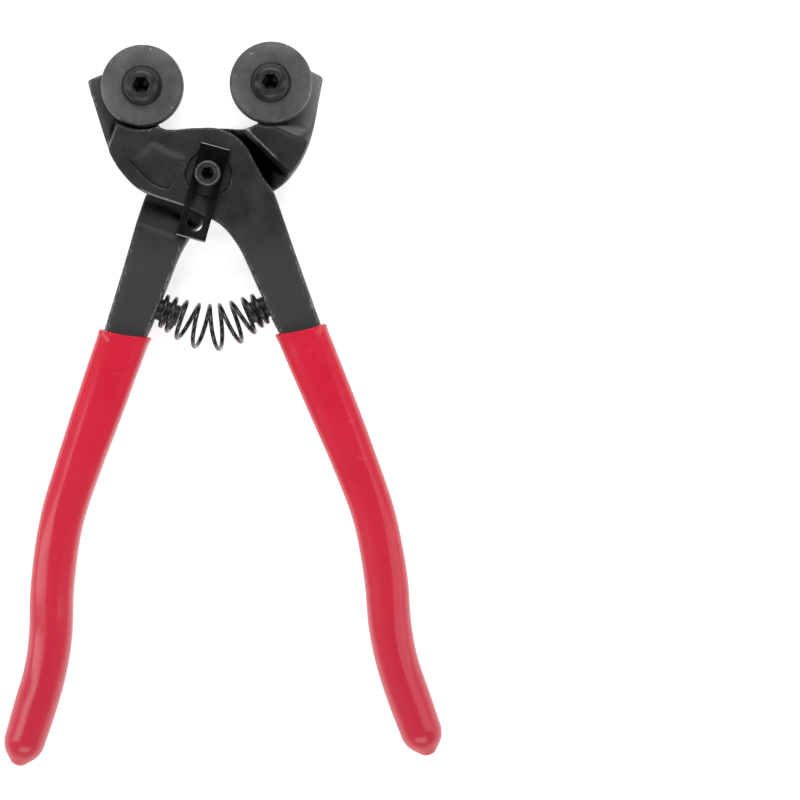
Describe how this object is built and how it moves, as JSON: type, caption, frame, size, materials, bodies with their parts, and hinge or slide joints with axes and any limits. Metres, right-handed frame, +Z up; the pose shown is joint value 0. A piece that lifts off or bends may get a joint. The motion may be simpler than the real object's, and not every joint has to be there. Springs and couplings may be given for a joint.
{
  "type": "wheeled glass nippers",
  "caption": "Mosaic glass nippers with round carbide cutting wheels on crossed forged levers, a barrel return spring, a sliding stop plate and red dipped grips.",
  "frame": {"origin": "the pivot axis at the flat back head of the pivot pin, in the plane of the bench that the tool lies on", "axes": "+Y towards the jaws, +X to the right as seen from the screw side, +Z up from the bench to the screw side"},
  "size_m": [0.1174, 0.1919, 0.0186],
  "materials": {
    "forged_steel": "satin black oxide over a forged skin",
    "pin_steel": "satin black oxide",
    "plate_steel": "satin black oxide with bare cut edges",
    "black_screw": "semi-gloss black oxide",
    "wheel_carbide": "ground and blackened",
    "spring_steel": "oiled black spring wire",
    "red_vinyl": "satin dipped vinyl"
  },
  "bodies": {
    "rear_half": {"rear_lever": "forged_steel", "pivot_pin": "pin_steel", "rear_wheel_screw": "black_screw", "rear_spring_peg": "pin_steel", "return_spring": "spring_steel", "rear_grip": "red_vinyl"},
    "front_half": {"front_lever": "forged_steel", "front_wheel_screw": "black_screw", "front_spring_peg": "pin_steel", "front_grip": "red_vinyl"},
    "rear_wheel": {"rear_wheel": "wheel_carbide"},
    "front_wheel": {"front_wheel": "wheel_carbide"},
    "stop_screw": {"stop_screw": "black_screw"},
    "stop_plate": {"stop_plate": "plate_steel"}
  },
  "joints": [
    {"name": "pivot_close", "type": "hinge", "parent": "rear_half", "child": "front_half", "pos_m": [0, 0, 0.0067], "axis": [0, 0, -1], "range_deg": [0, 25], "stiffness_Nm_per_rad": 2.6, "springref_deg": -1.72, "deforming": ["return_spring"]},
    {"name": "rear_wheel_turn", "type": "hinge", "parent": "rear_half", "child": "rear_wheel", "pos_m": [0.0172, 0.0241, 0.0085], "axis": [0, 0, 1], "continuous": true},
    {"name": "front_wheel_turn", "type": "hinge", "parent": "front_half", "child": "front_wheel", "pos_m": [-0.0172, 0.0241, 0.0085], "axis": [0, 0, 1], "continuous": true},
    {"name": "stop_turn", "type": "hinge", "parent": "rear_half", "child": "stop_screw", "pos_m": [0, 0, 0.0137], "axis": [0, 0, 1], "continuous": true},
    {"name": "stop_slide", "type": "slide", "parent": "stop_screw", "child": "stop_plate", "axis": [0.2874, 0.9578, 0], "range_m": [0, 0.013]}
  ]
}
